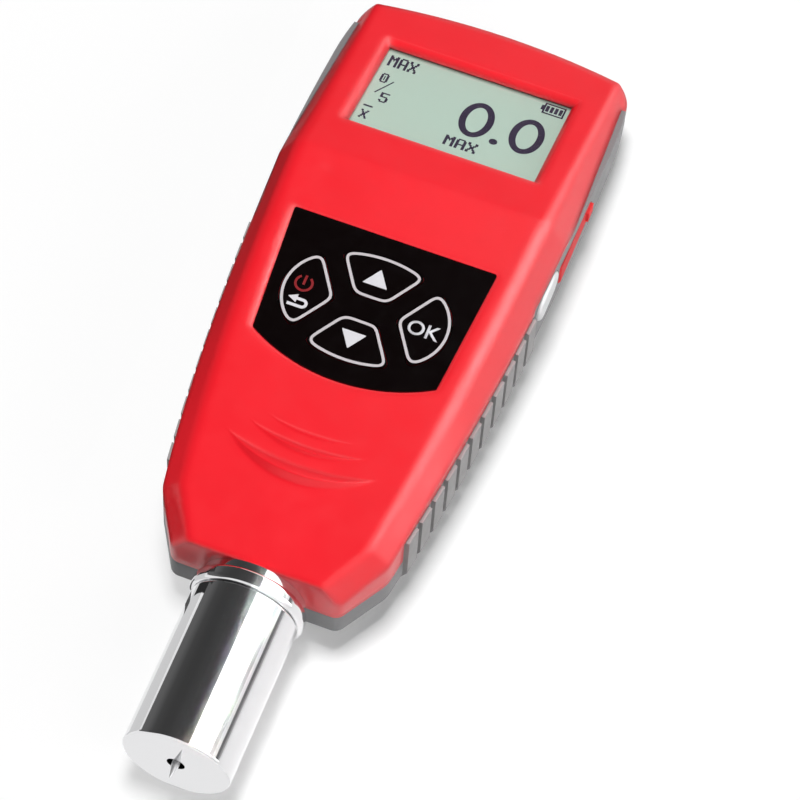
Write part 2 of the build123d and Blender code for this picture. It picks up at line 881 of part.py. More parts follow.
with BuildPart() as lcd_holder:
    with BuildSketch(display_plane.offset(-display_wall - seat_gap)):
        with Locations(window_centre):
            Rectangle(holder_width, holder_height)
    extrude(amount=holder_underside + display_wall + seat_gap)
    with BuildSketch(display_plane):
        with Locations(window_centre):
            Rectangle(lcd_width + 2 * seat_gap, lcd_height + 2 * seat_gap)
    extrude(amount=holder_base, mode=Mode.SUBTRACT)

# Keypad overlay and keys
with BuildPart() as keypad_overlay:
    with BuildSketch(overlay_plane):
        add(overlay_outline.sketch)
        for key_outline in key_outlines.values():
            with BuildSketch(mode=Mode.SUBTRACT):
                add(key_outline)
                offset(amount=moving_gap)
    extrude(amount=overlay_thickness)

with BuildPart() as key_up:
    with BuildSketch(keypad_plane.offset(key_bottom)):
        add(key_outlines["key_up"])
    extrude(amount=key_top - key_bottom)
    with BuildSketch(keypad_plane.offset(key_bottom)):
        add(key_outlines["key_up"])
        offset(amount=key_flange)
    extrude(amount=key_flange_thickness)

with BuildPart() as key_down:
    with BuildSketch(keypad_plane.offset(key_bottom)):
        add(key_outlines["key_down"])
    extrude(amount=key_top - key_bottom)
    with BuildSketch(keypad_plane.offset(key_bottom)):
        add(key_outlines["key_down"])
        offset(amount=key_flange)
    extrude(amount=key_flange_thickness)

with BuildPart() as key_ok:
    with BuildSketch(keypad_plane.offset(key_bottom)):
        add(key_outlines["key_ok"])
    extrude(amount=key_top - key_bottom)
    with BuildSketch(keypad_plane.offset(key_bottom)):
        add(key_outlines["key_ok"])
        offset(amount=key_flange)
    extrude(amount=key_flange_thickness)

with BuildPart() as key_power:
    with BuildSketch(keypad_plane.offset(key_bottom)):
        add(key_outlines["key_power"])
    extrude(amount=key_top - key_bottom)
    with BuildSketch(keypad_plane.offset(key_bottom)):
        add(key_outlines["key_power"])
        offset(amount=key_flange)
    extrude(amount=key_flange_thickness)

# Main board with its switches, screws and buzzer
dome_across = (side_key_tip + key_oval_half) / 2
dome_along = (key_waist + key_oval_rise) / 2
board_underside = board_plane.offset(-board_thickness)

with BuildPart() as main_board:
    with BuildSketch(board_plane):
        with Locations((0, (board_back - board_front) / 2)):
            Rectangle(2 * board_half_width, board_front + board_back)
        with Locations(*pillars):
            Circle(board_screw_radius + seat_gap, mode=Mode.SUBTRACT)
    extrude(amount=-board_thickness)

with BuildPart() as key_switches:
    with BuildSketch(board_plane):
        with Locations((dome_across, 0), (-dome_across, 0), (0, dome_along), (0, -dome_along)):
            Circle(dome_radius)
    extrude(amount=dome_height, taper=display_tilt)

with BuildPart() as board_screws:
    with BuildSketch(board_underside):
        with Locations(*pillars):
            Circle(board_screw_head)
    extrude(amount=-board_screw_head_height)
    with BuildSketch(board_underside):
        with Locations(*pillars):
            Circle(board_screw_radius)
    extrude(amount=board_thickness + board_screw_grip)

with BuildPart() as buzzer:
    with BuildSketch(board_underside):
        with Locations((buzzer_x, buzzer_along)):
            Circle(buzzer_radius)
    extrude(amount=-buzzer_height)

# Side board with the data socket and the side switch
with BuildPart() as side_board:
    with BuildSketch(Plane.XY.offset(side_board_top)):
        with Locations(((side_board_inner + side_board_outer) / 2, side_board_y)):
            Rectangle(side_board_outer - side_board_inner, side_board_length)
    extrude(amount=-side_board_thickness)

socket_front = port_plane.offset(-wall - socket_setback)

with BuildPart() as data_socket:
    with BuildSketch(socket_front):
        Rectangle(socket_width, socket_height)
    extrude(amount=-socket_depth)
    with BuildSketch(socket_front):
        Rectangle(socket_width - 2 * socket_shell, socket_height - 2 * socket_shell)
    extrude(amount=socket_shell - socket_depth, mode=Mode.SUBTRACT)
    with BuildSketch(socket_front.offset(-2 * socket_shell)):
        Rectangle(socket_tongue_width, socket_tongue)
    extrude(amount=2 * socket_shell - socket_depth)

switch_front = button_flange_x - button_travel - seat_gap - switch_nub

with BuildPart() as side_switch:
    with BuildSketch(Plane.XY.offset(side_board_top)):
        with Locations((switch_front - switch_depth / 2, button_y)):
            Rectangle(switch_depth, switch_width)
    extrude(amount=switch_height)
    with BuildSketch(button_plane.offset(switch_front)):
        Circle(switch_nub_radius)
    extrude(amount=switch_nub)

with BuildPart() as side_button:
    with BuildSketch(button_plane.offset(button_flange_x)):
        SlotOverall(button_length, button_height)
    extrude(amount=button_wall_x + button_proud - button_flange_x)
    fillet(side_button.faces().sort_by(Axis.X)[-1].edges(), radius=button_edge_radius)
    with BuildSketch(button_plane.offset(button_flange_x)):
        SlotOverall(button_length + 2 * button_flange, button_height + 2 * button_flange)
    extrude(amount=button_flange_thickness)

with BuildPart() as port_cover:
    with BuildSketch(port_plane.offset(seat_gap - port_depth)):
        add(port_outline(hinge_radius - port_length / 2, 0))
    extrude(amount=port_thickness)
    with BuildSketch(Plane.XY.offset(port_z - port_height / 2)):
        with Locations((hinge_x, hinge_y)):
            Circle(hinge_radius)
    extrude(amount=port_height)
    with BuildSketch(port_plane.offset(seat_gap - port_depth)):
        Rectangle(port_plug_length, port_plug_height)
    extrude(amount=-port_plug_depth)
    with BuildSketch(port_plane):
        with Locations((port_length / 2 - port_tab_inset - port_tab_length / 2, 0)):
            Rectangle(port_tab_length, port_tab_height)
    extrude(amount=port_proud + port_tab_thickness)


# Probe, turned about the probe axis
def turned(*corners):
    """Side-view corners of a turned piece from (distance behind the foot face, radius) pairs."""
    return [(foot_end + along, axis_height + radius) for along, radius in corners]


collar_start = foot_length + seat_gap
neck_start = foot_length + collar_length
barrel_start = foot_length - barrel_into_foot
barrel_end = probe_reach + barrel_inside_length
bore_fit_radius = barrel_bore_radius - seat_gap
foot_fit_radius = foot_bore_radius - seat_gap
spindle_bore_radius = spindle_radius + bush_gap
stop_start = front_bush_start + front_bush_length + seat_gap
stop_end = stop_start + stop_thickness
coil_start = barrel_end - cap_plug_length - moving_gap - coil_length
rear_bush_start = coil_start - rear_bush_to_coil - rear_bush_length
adjuster_start = rear_bush_start - adjuster_to_bush - adjuster_length
spindle_end = coil_start + spindle_into_coil

with BuildPart() as presser_foot:
    with BuildSketch(Plane.YZ) as foot_profile:
        with BuildLine():
            Polyline(
                *turned(
                    (0, foot_hole_radius),
                    (0, foot_radius),
                    (foot_length, foot_radius),
                    (foot_length, foot_bore_radius),
                    (foot_wall, foot_bore_radius),
                    (foot_wall, foot_hole_radius),
                ),
                close=True,
            )
        make_face()
        fillet(foot_profile.vertices().group_by(Axis.Y)[-1], radius=foot_edge_radius)
    revolve(axis=probe_axis)

with BuildPart() as probe_collar:
    with BuildSketch(Plane.YZ) as collar_profile:
        with BuildLine():
            Polyline(
                *turned(
                    (collar_start, collar_seat_radius + seat_gap),
                    (collar_start, collar_radius),
                    (neck_start, collar_radius),
                    (neck_start, collar_seat_radius + seat_gap),
                ),
                close=True,
            )
        make_face()
        fillet(collar_profile.vertices().group_by(Axis.Y)[-1], radius=collar_edge_radius)
    revolve(axis=probe_axis)

with BuildPart() as probe_barrel:
    with BuildSketch(Plane.YZ):
        with BuildLine():
            Polyline(
                *turned(
                    (barrel_start, barrel_bore_radius),
                    (barrel_start, foot_fit_radius),
                    (collar_start, foot_fit_radius),
                    (collar_start, collar_seat_radius),
                    (neck_start + seat_gap, collar_seat_radius),
                    (neck_start + seat_gap, neck_radius),
                    (probe_reach - seat_gap, neck_radius),
                    (probe_reach - seat_gap, barrel_radius),
                    (barrel_end, barrel_radius),
                    (barrel_end, barrel_bore_radius),
                ),
                close=True,
            )
        make_face()
    revolve(axis=probe_axis)

with BuildPart() as front_bush:
    with BuildSketch(Plane.YZ):
        with BuildLine():
            Polyline(
                *turned(
                    (front_bush_start, spindle_bore_radius),
                    (front_bush_start, foot_fit_radius),
                    (front_bush_start + front_bush_length, foot_fit_radius),
                    (front_bush_start + front_bush_length, spindle_bore_radius),
                ),
                close=True,
            )
        make_face()
    revolve(axis=probe_axis)

with BuildPart() as rear_bush:
    with BuildSketch(Plane.YZ):
        with BuildLine():
            Polyline(
                *turned(
                    (rear_bush_start, spindle_bore_radius),
                    (rear_bush_start, bore_fit_radius),
                    (rear_bush_start + rear_bush_length, bore_fit_radius),
                    (rear_bush_start + rear_bush_length, spindle_bore_radius),
                ),
                close=True,
            )
        make_face()
    revolve(axis=probe_axis)

indenter_end = indenter_length - indenter_reach
cone_length = (indenter_radius - indenter_flat_radius) / tan(radians(indenter_cone_angle / 2))

with BuildPart() as indenter:
    with BuildSketch(Plane.YZ):
        with BuildLine():
            Polyline(
                *turned(
                    (-indenter_reach, 0),
                    (-indenter_reach, indenter_flat_radius),
                    (cone_length - indenter_reach, indenter_radius),
                    (indenter_end, indenter_radius),
                    (indenter_end, 0),
                ),
                close=True,
            )
        make_face()
    revolve(axis=probe_axis)

with BuildPart() as spindle:
    with BuildSketch(Plane.YZ):
        with BuildLine():
            Polyline(
                *turned(
                    (spindle_start, indenter_radius + seat_gap),
                    (spindle_start, spindle_radius),
                    (stop_start, spindle_radius),
                    (stop_start, stop_radius),
                    (stop_end, stop_radius),
                    (stop_end, spindle_radius),
                    (spindle_end, spindle_radius),
                    (spindle_end, 0),
                    (indenter_end, 0),
                    (indenter_end, indenter_radius + seat_gap),
                ),
                close=True,
            )
        make_face()
    revolve(axis=probe_axis)

with BuildPart() as sensor_core:
    with BuildSketch(Plane.XZ.offset(-foot_end - spindle_end)):
        with Locations((0, axis_height)):
            Circle(core_radius)
    extrude(amount=-core_length)

with BuildPart() as spring_adjuster:
    with BuildSketch(Plane.XZ.offset(-foot_end - adjuster_start)):
        with Locations((0, axis_height)):
            Circle(bore_fit_radius)
            Circle(adjuster_bore_radius, mode=Mode.SUBTRACT)
    extrude(amount=-adjuster_length)

with BuildPart() as sensor_coil:
    with BuildSketch(Plane.XZ.offset(-foot_end - coil_start)):
        with Locations((0, axis_height)):
            Circle(bore_fit_radius)
            Circle(coil_bore_radius, mode=Mode.SUBTRACT)
    extrude(amount=-coil_length)

with BuildPart() as barrel_cap:
    with BuildSketch(Plane.XZ.offset(-foot_end - barrel_end - seat_gap)):
        with Locations((0, axis_height)):
            Circle(bore_fit_radius)
    extrude(amount=cap_plug_length + seat_gap)
    with BuildSketch(Plane.XZ.offset(-foot_end - barrel_end - seat_gap)):
        with Locations((0, axis_height)):
            Circle(barrel_radius)
    extrude(amount=-cap_thickness)

# Measuring spring between the stop of the spindle and the adjuster
spring_length = adjuster_start - stop_end - 2 * (spring_wire_radius + seat_gap)

with BuildPart() as measuring_spring:
    with BuildLine():
        spring_line = Helix(
            pitch=spring_length / spring_turns,
            height=spring_length,
            radius=spring_radius,
            center=(0, foot_end + stop_end + spring_wire_radius + seat_gap, axis_height),
            direction=(0, 1, 0),
        )
    with BuildSketch(Plane(spring_line @ 0, z_dir=spring_line % 0)):
        RegularPolygon(spring_wire_radius, spring_wire_sides)
    sweep()

nodes = {
    "front_cover": front_cover,
    "rear_cover": rear_cover,
    "battery_door": battery_door,
    "battery_cells": battery_cells,
    "battery_contacts": battery_contacts,
    "housing_screws": housing_screws,
    "left_grip": left_grip,
    "right_grip": right_grip,
    "display_window": display_window,
    "lcd_panel": lcd_panel,
    "lcd_holder": lcd_holder,
    "keypad_overlay": keypad_overlay,
    "key_up": key_up,
    "key_down": key_down,
    "key_ok": key_ok,
    "key_power": key_power,
    "main_board": main_board,
    "key_switches": key_switches,
    "board_screws": board_screws,
    "buzzer": buzzer,
    "side_board": side_board,
    "data_socket": data_socket,
    "side_switch": side_switch,
    "side_button": side_button,
    "port_cover": port_cover,
    "presser_foot": presser_foot,
    "probe_collar": probe_collar,
    "probe_barrel": probe_barrel,
    "front_bush": front_bush,
    "rear_bush": rear_bush,
    "indenter": indenter,
    "spindle": spindle,
    "sensor_core": sensor_core,
    "spring_adjuster": spring_adjuster,
    "sensor_coil": sensor_coil,
    "barrel_cap": barrel_cap,
    "measuring_spring": measuring_spring,
}
for name, node in nodes.items():
    node.part.label = name
    export_step(node.part, f"parts/{name}.step")
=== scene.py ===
"""A hand-held digital durometer: its finishes, key prints and display marks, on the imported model."""

import json
import math

import bmesh
import bpy
from mathutils import Matrix, Vector

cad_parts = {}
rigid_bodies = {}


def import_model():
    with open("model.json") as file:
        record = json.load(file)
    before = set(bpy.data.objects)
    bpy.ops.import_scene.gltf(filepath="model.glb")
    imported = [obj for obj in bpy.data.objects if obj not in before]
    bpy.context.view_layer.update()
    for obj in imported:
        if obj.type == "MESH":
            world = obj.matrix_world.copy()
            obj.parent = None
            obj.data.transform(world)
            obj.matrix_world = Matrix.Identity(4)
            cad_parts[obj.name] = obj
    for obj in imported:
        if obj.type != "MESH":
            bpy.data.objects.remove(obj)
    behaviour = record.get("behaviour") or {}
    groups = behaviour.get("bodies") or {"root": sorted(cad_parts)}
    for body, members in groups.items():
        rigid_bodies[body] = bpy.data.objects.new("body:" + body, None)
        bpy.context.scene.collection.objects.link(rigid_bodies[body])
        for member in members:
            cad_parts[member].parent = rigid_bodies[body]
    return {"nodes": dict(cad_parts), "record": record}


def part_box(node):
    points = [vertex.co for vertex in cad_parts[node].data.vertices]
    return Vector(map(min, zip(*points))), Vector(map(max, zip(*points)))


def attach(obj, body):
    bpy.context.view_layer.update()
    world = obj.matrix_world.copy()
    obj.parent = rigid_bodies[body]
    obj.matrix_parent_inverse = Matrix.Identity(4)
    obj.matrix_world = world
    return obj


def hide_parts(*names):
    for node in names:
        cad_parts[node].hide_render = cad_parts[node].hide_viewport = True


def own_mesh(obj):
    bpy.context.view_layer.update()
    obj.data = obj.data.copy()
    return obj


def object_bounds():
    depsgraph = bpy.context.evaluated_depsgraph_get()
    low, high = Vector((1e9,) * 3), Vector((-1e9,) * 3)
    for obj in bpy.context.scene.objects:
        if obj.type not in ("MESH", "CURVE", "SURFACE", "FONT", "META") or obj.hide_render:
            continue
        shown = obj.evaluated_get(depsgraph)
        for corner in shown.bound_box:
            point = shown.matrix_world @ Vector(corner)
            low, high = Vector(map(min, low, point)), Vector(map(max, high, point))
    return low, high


for start_object in list(bpy.data.objects):
    bpy.data.objects.remove(start_object)

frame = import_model()
cad_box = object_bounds()
nodes = frame["nodes"]
record = frame["record"]
node_slots = {part["node"]: part["material_slot"] for part in record["subparts"]}
mm = 0.001
merge_gap = 0.001 * mm
upward = 0.5

# Camera of the photograph
view_target = Vector((9.01, 1.46, 11.0)) * mm
view_distance = 600 * mm
view_azimuth = 16.81
view_elevation = 59.57
view_roll = 4.55
view_lens = 166.1
sensor_width = 36.0

# Studio
floor_side = 8.0
floor_gap = 0.2 * mm
# Share of even glow in the floor from its right end to its left: the larger share on the left paints light over
# the shadow there
floor_glow = (0.10, 0.80)
floor_glow_ends = (18 * mm, -26 * mm)
floor_white = 0.97
floor_bounce = 0.56
world_fill = 0.19

# Lamps: place and size in metres, power in watts, and what they light
lamps = {
    "right_softbox": ((0.463, 0.412, 0.582), (0.775, 0.85), 7.4, "glossy"),
    "side_softbox": ((3.60, -1.00, 1.52), (3.60, 2.00), 55.6, "diffuse"),
    "top_softbox": ((-0.03, 0.02, 0.90), (0.24, 0.24), 6.9, "diffuse"),
}

# Cards beside the object: centre and spans in millimetres, grey, and use
low_cards = {
    "right_sheet": ((2600, 1000, 450), (0, 1500, 900), 3.6, "mirror"),
    "left_flag": ((-36, 335, 12), (0, 730, 24), 0.045, "mirror and shade"),
    "facet_flag": ((-20.5, -34, 13), (0, 11, 10), 0.03, "mirror"),
    "left_sheet": ((-115, -35, 0.1), (180, 80, 0), 0.74, "mirror"),
    "front_flag": ((-14.3, -43.1, 8), (6.6, 2.6, 0), 0.10, "mirror"),
    "end_sheet": ((0, -83, 0.1), (40, 20, 0), 0.99, "mirror"),
    "corner_flag": ((-17.3, -46.5, 5), (13.4, 11, 0), 0.03, "shade"),
}

# Cards bent about the probe's direction: greys at angles off the zenith, and ends in metres
card_radius = 1.8
card_steps = 48
side_card_ends = (0.58, 0.92)
dark_tones = (
    (-93, 0.135), (-78, 0.130), (-68, 0.097), (-61, 0.068), (-43, 0.053),
    (-31, 0.052), (-1, 0.070), (10, 0.075), (17.5, 0.095))
studio_cards = {
    "dark_card": (dark_tones, (-2.5, 4.8)),
    "grey_card": (((63.5, 0.50), (72.0, 0.50)), side_card_ends),
    "pale_card": (((72.0, 0.88), (80.0, 0.88)), side_card_ends),
    "edge_card": (((80.0, 0.17), (86.5, 0.17)), side_card_ends),
    "rim_card": (((86.5, 0.42), (91.5, 0.42)), side_card_ends),
}

# Edges of the moulded plastics, lighter for handling wear and a painted highlight, and the colour sockets of a
# Mix node
edge_wear_and_highlight = 0.5 * mm
edge_wear_and_highlight_gain = 6.0
edge_wear_and_highlight_samples = 4
rounding_samples = 6
mix_colours = (6, 7)
mix_result = 2

# Thumb ridges of the face
thumb_y = -17.926 * mm
thumb_tilt = 5.57
thumb_half_widths = (12.3 * mm, 9.25 * mm, 6.6 * mm)
thumb_tips = (-1.9 * mm, 0.85 * mm, 2.75 * mm)
thumb_belly_radius = 17.4 * mm
thumb_back_radius = 46.0 * mm
thumb_belly_lift = 0.52
thumb_back_lift = 0.45
thumb_crest = 0.22 * mm

# Key prints, on the plane of the key tops and measured from the keypad's centre
print_sink = 0.005 * mm
print_rise = 0.02 * mm
outline_margin = 0.10 * mm
outline_width = 0.48 * mm
outline_step = 0.25 * mm
outline_rounds = 14
outline_ease = 0.5
key_top_level = 0.9999
key_top_gap = 0.01 * mm
arrow_half_width = 2.12 * mm
arrow_base = 4.55 * mm
arrow_tip = 7.75 * mm
arrow_aside = -0.15 * mm
arrow_corner = 0.18 * mm
arrow_corner_steps = 4
power_centre = Vector((-10.95, 0.85, 0)) * mm
power_radius = 1.38 * mm
power_stroke = 0.41 * mm
power_gap = 36.0
power_steps = 30
power_bar_low = 0.54 * mm
power_bar_high = 2.35 * mm
return_bend = Vector((-9.85, -2.80, 0)) * mm
return_radius = 0.65 * mm
return_stroke = 0.52 * mm
return_steps = 14
return_tail = -12.25 * mm
return_head_base = -10.95 * mm
return_head_tip = -12.50 * mm
return_head_half = 0.78 * mm
ok_centre = Vector((10.15, -0.22, 0)) * mm
ok_height = 2.62 * mm
ok_width = 5.45 * mm
letter_weight = 0.012
letter_merge_gap = 0.0001

# Display marks, on the plane of the display: boxes are left, low, right and high in millimetres from its centre
display_tilt = 15.0
# Painted shade on the film under the window's upper edge: where it starts and ends, and how much of its dark
# colour it reaches
upper_shade_low = 10.05 * mm
upper_shade_high = 10.95 * mm
upper_shade_share = 0.9
mark_sink = 0.002 * mm
mark_rise = 0.015 * mm
upper_word_box = (-15.70, 6.55, -10.57, 9.47)
lower_word_box = (-0.63, -7.95, 5.10, -5.37)
count_box = (-15.55, 1.95, -14.16, 4.40)
total_box = (-14.00, -2.97, -12.46, -0.40)
mean_box = (-15.62, -8.25, -14.20, -6.00)
mean_bar = (-15.75, -5.05, -14.10, -4.65)
slash_low = Vector((-15.15, -1.03, 0)) * mm
slash_high = Vector((-13.04, 2.93, 0)) * mm
slash_width = 0.24 * mm
digit_centres = (2.74 * mm, 11.70 * mm)
digit_height_centre = 0.45 * mm
digit_outer = (2.90 * mm, 4.64 * mm)
digit_inner = (1.68 * mm, 3.38 * mm)
digit_sides = 56
point_centre = Vector((6.97, -3.46, 0)) * mm
point_radius = 0.74 * mm
point_sides = 28
battery_box = (11.95, 7.55, 15.75, 10.40)
battery_stroke = 0.32
battery_bars = 4
battery_bar_width = 0.56
battery_nub = (11.55, 8.35, 11.95, 9.60)


# Building blocks of the finishes

class Finish:
    """A procedural finish: one Principled shader, fed by textures in Object coordinates."""

    def __init__(self, name, **values):
        self.material = bpy.data.materials.new(name)
        self.material.use_nodes = True
        self.tree = self.material.node_tree
        self.shader = self.tree.nodes["Principled BSDF"]
        self.place = self.add("ShaderNodeTexCoord").outputs["Object"]
        for socket, value in values.items():
            self.shader.inputs[socket.replace("_", " ")].default_value = value

    def add(self, kind, **settings):
        """New node of the finish, with its settings."""
        node = self.tree.nodes.new(kind)
        for setting, value in settings.items():
            setattr(node, setting, value)
        return node

    def join(self, source, target):
        self.tree.links.new(source, target)

    def speckle(self, size, detail=2.0, stretch=(1, 1, 1)):
        """Noise with spots of about a size, made longer along an axis by its stretch and endless by None."""
        mapping = self.add("ShaderNodeMapping")
        mapping.inputs["Scale"].default_value = [1 / (size * s) if s else 0 for s in stretch]
        noise = self.add("ShaderNodeTexNoise")
        noise.inputs["Scale"].default_value = 1.0
        noise.inputs["Detail"].default_value = detail
        self.join(self.place, mapping.inputs["Vector"])
        self.join(mapping.outputs["Vector"], noise.inputs["Vector"])
        return noise.outputs["Fac"]

    def edges(self, radius):
        """Mask along outer edges: how far a rounded normal leaves the surface's own."""
        rounded = self.add("ShaderNodeBevel", samples=edge_wear_and_highlight_samples)
        rounded.inputs["Radius"].default_value = radius
        surface = self.add("ShaderNodeNewGeometry")
        along = self.add("ShaderNodeVectorMath", operation="DOT_PRODUCT")
        self.join(rounded.outputs["Normal"], along.inputs[0])
        self.join(surface.outputs["Normal"], along.inputs[1])
        return self.spread(along.outputs["Value"], 1.0, 0.0, 1 - 1 / edge_wear_and_highlight_gain, 1.0)

    def spread(self, value, low, high, start=0.3, end=0.7):
        """Map a texture's usual values, from start to end, to a range."""
        ramp = self.add("ShaderNodeMapRange")
        ramp.inputs["From Min"].default_value = start
        ramp.inputs["From Max"].default_value = end
        ramp.inputs["To Min"].default_value = low
        ramp.inputs["To Max"].default_value = high
        self.join(value, ramp.inputs["Value"])
        return ramp.outputs["Result"]

    def mix(self, factor, first, second):
        """Colour between two, each a colour or a socket."""
        blend = self.add("ShaderNodeMix", data_type="RGBA")
        self.join(factor, blend.inputs["Factor"])
        for socket, colour in zip(mix_colours, (first, second)):
            if isinstance(colour, tuple):
                blend.inputs[socket].default_value = (*colour, 1.0)
            else:
                self.join(colour, blend.inputs[socket])
        return blend.outputs[mix_result]

    def colour(self, source):
        self.join(source, self.shader.inputs["Base Color"])

    def gloss(self, value, low, high):
        """Roughness that wanders from low to high with a texture."""
        self.join(self.spread(value, low, high), self.shader.inputs["Roughness"])

    def math(self, operation, *values):
        """One operation on values, each a number or a socket."""
        node = self.add("ShaderNodeMath", operation=operation)
        for socket, value in zip(node.inputs, values):
            if isinstance(value, float):
                socket.default_value = value
            else:
                self.join(value, socket)
        return node.outputs["Value"]

    def rounded(self, radius):
        """Normal of a surface whose edges catch the light as if rounded by a radius."""
        bevel = self.add("ShaderNodeBevel", samples=rounding_samples)
        bevel.inputs["Radius"].default_value = radius
        return bevel.outputs["Normal"]

    def raised(self, height, normal):
        """Normal of a surface with a height on it."""
        bump = self.add("ShaderNodeBump")
        bump.inputs["Distance"].default_value = 1.0
        self.join(height, bump.inputs["Height"])
        self.join(normal, bump.inputs["Normal"])
        return bump.outputs["Normal"]

    def relief(self, height, depth, normal=None):
        """Surface relief of a depth, over a normal where one is given."""
        bump = self.add("ShaderNodeBump")
        if normal:
            self.join(normal, bump.inputs["Normal"])
        bump.inputs["Distance"].default_value = depth
        self.join(height, bump.inputs["Height"])
        self.join(bump.outputs["Normal"], self.shader.inputs["Normal"])


# Finishes

def moulded_plastic(
        name, dark, light, worn_and_highlit, roughness, grain_size, grain_depth, shine=0.5, rounding=0.2 * mm, ridges=None):
    """Moulded case plastic: cloudy colour, fine spark texture, and edges lighter for handling wear and a
    painted highlight.
    """
    finish = Finish(name, Specular_IOR_Level=shine)
    cloud = finish.spread(finish.speckle(14 * mm, 3.0), 0.0, 1.0)
    base = finish.mix(cloud, dark, light)
    # Outer edges take the lighter edge colour: handling wear and a painted highlight
    finish.colour(finish.mix(finish.edges(edge_wear_and_highlight), base, worn_and_highlit))
    finish.gloss(finish.speckle(3 * mm, 3.0), roughness - 0.03, roughness + 0.04)
    normal = finish.rounded(rounding)
    if ridges:
        normal = finish.raised(ridges(finish), normal)
    finish.relief(finish.speckle(grain_size, 1.0), grain_depth, normal)
    return finish.material


def thumb_ridges(finish):
    """Height of three crescents, each between a round belly and a flatter back."""
    slant = math.cos(math.radians(thumb_tilt))
    flat = finish.add("ShaderNodeMapping")
    flat.inputs["Scale"].default_value = (1, 1 / slant, 0)
    finish.join(finish.place, flat.inputs["Vector"])
    top = None
    for half, tip in zip(thumb_half_widths, thumb_tips):
        sides = []
        for radius, lift in ((thumb_belly_radius, -thumb_belly_lift), (thumb_back_radius, thumb_back_lift)):
            away = finish.add("ShaderNodeVectorMath", operation="DISTANCE")
            away.inputs[1].default_value = (0, thumb_y / slant + tip + math.sqrt(radius**2 - half**2), 0)
            finish.join(flat.outputs["Vector"], away.inputs[0])
            beyond = finish.math("SUBTRACT", away.outputs["Value"], radius)
            sides.append(finish.math("MULTIPLY", beyond, lift))
        crescent = finish.math("SMOOTH_MAX", finish.math("SMOOTH_MIN", *sides, thumb_crest), 0.0, thumb_crest)
        top = finish.math("MAXIMUM", top, crescent) if top else crescent
    return top


def grip_rubber():
    """Soft grey pad with a dry, finely pitted skin."""
    finish = Finish("grip_rubber")
    finish.colour(finish.mix(finish.speckle(2 * mm, 4.0), (0.32, 0.312, 0.312), (0.41, 0.402, 0.402)))
    finish.gloss(finish.speckle(1 * mm, 2.0), 0.55, 0.72)
    finish.relief(finish.speckle(0.16 * mm, 2.0), 0.008 * mm)
    return finish.material


def membrane(name, roughness):
    """Black printed polyester: dark under a hard, finely textured face."""
    finish = Finish(name, Specular_IOR_Level=0.2)
    finish.colour(finish.mix(finish.speckle(9 * mm, 3.0), (0.0022, 0.0009, 0.0010), (0.0026, 0.0011, 0.0012)))
    finish.gloss(finish.speckle(2 * mm, 4.0), roughness - 0.05, roughness + 0.06)
    finish.relief(finish.speckle(0.12 * mm, 1.0), 0.0012 * mm)
    return finish.material


def screen_ink(name, thin, full, roughness, shine=0.5):
    """Screen-printed ink, a little thinner in places."""
    finish = Finish(name, Specular_IOR_Level=shine)
    finish.colour(finish.mix(finish.speckle(0.35 * mm, 3.0), thin, full))
    finish.gloss(finish.speckle(0.5 * mm, 2.0), roughness - 0.05, roughness + 0.08)
    finish.relief(finish.speckle(0.10 * mm, 1.0), 0.001 * mm)
    return finish.material


def display_film():
    """Reflective display: green-grey film with the faint grain of its reflector, and painted shade under the
    window's upper edge.
    """
    finish = Finish("display_film", Specular_IOR_Level=0.3)
    grain = finish.mix(finish.speckle(0.09 * mm, 2.0), (0.480, 0.615, 0.525), (0.515, 0.655, 0.565))
    cloud = finish.spread(finish.speckle(16 * mm, 2.0), 0.0, 0.25)
    film = finish.mix(cloud, grain, (0.485, 0.62, 0.545))
    low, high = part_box("display_window")
    up = Vector((0, math.cos(math.radians(display_tilt)), -math.sin(math.radians(display_tilt))))
    rise = finish.add("ShaderNodeVectorMath", operation="DOT_PRODUCT")
    rise.inputs[1].default_value = up
    finish.join(finish.place, rise.inputs[0])
    centre = up.dot((low + high) / 2)
    # Painted shade: the film darkens towards the window's upper edge
    upper_shade = finish.spread(rise.outputs["Value"], 0.0, upper_shade_share, centre + upper_shade_low, centre + upper_shade_high)
    finish.colour(finish.mix(upper_shade, film, (0.02, 0.028, 0.024)))
    finish.gloss(finish.speckle(0.3 * mm, 2.0), 0.42, 0.55)
    finish.relief(finish.speckle(0.09 * mm, 1.0), 0.0008 * mm)
    return finish.material


def clear_window():
    """Clear cast acrylic with faint wiping smears, which lets the lamps reach the display."""
    finish = Finish("clear_window", IOR=1.49, Transmission_Weight=1.0)
    finish.colour(finish.mix(finish.speckle(8 * mm, 2.0), (0.965, 0.985, 0.975), (0.985, 0.995, 0.99)))
    finish.gloss(finish.speckle(5 * mm, 4.0, (3, 1, 1)), 0.01, 0.05)
    clear = finish.add("ShaderNodeBsdfTransparent")
    either = finish.add("ShaderNodeMixShader")
    rays = finish.add("ShaderNodeLightPath")
    lighting = finish.math("MAXIMUM", rays.outputs["Is Shadow Ray"], rays.outputs["Is Diffuse Ray"])
    finish.join(lighting, either.inputs["Fac"])
    finish.join(finish.shader.outputs["BSDF"], either.inputs[1])
    finish.join(clear.outputs["BSDF"], either.inputs[2])
    finish.join(either.outputs["Shader"], finish.tree.nodes["Material Output"].inputs["Surface"])
    return finish.material


def bright_chrome():
    """Chrome plate over turned steel: nearly a mirror, with faint turning lines and handling haze."""
    finish = Finish("bright_chrome", Metallic=1.0)
    finish.colour(finish.mix(finish.speckle(20 * mm, 3.0), (0.75, 0.75, 0.76), (0.79, 0.79, 0.80)))
    finish.gloss(finish.speckle(7 * mm, 4.0, (1, 2, 1)), 0.035, 0.075)
    finish.relief(finish.speckle(0.25 * mm, 3.0, (None, 1, None)), 0.00012 * mm)
    return finish.material


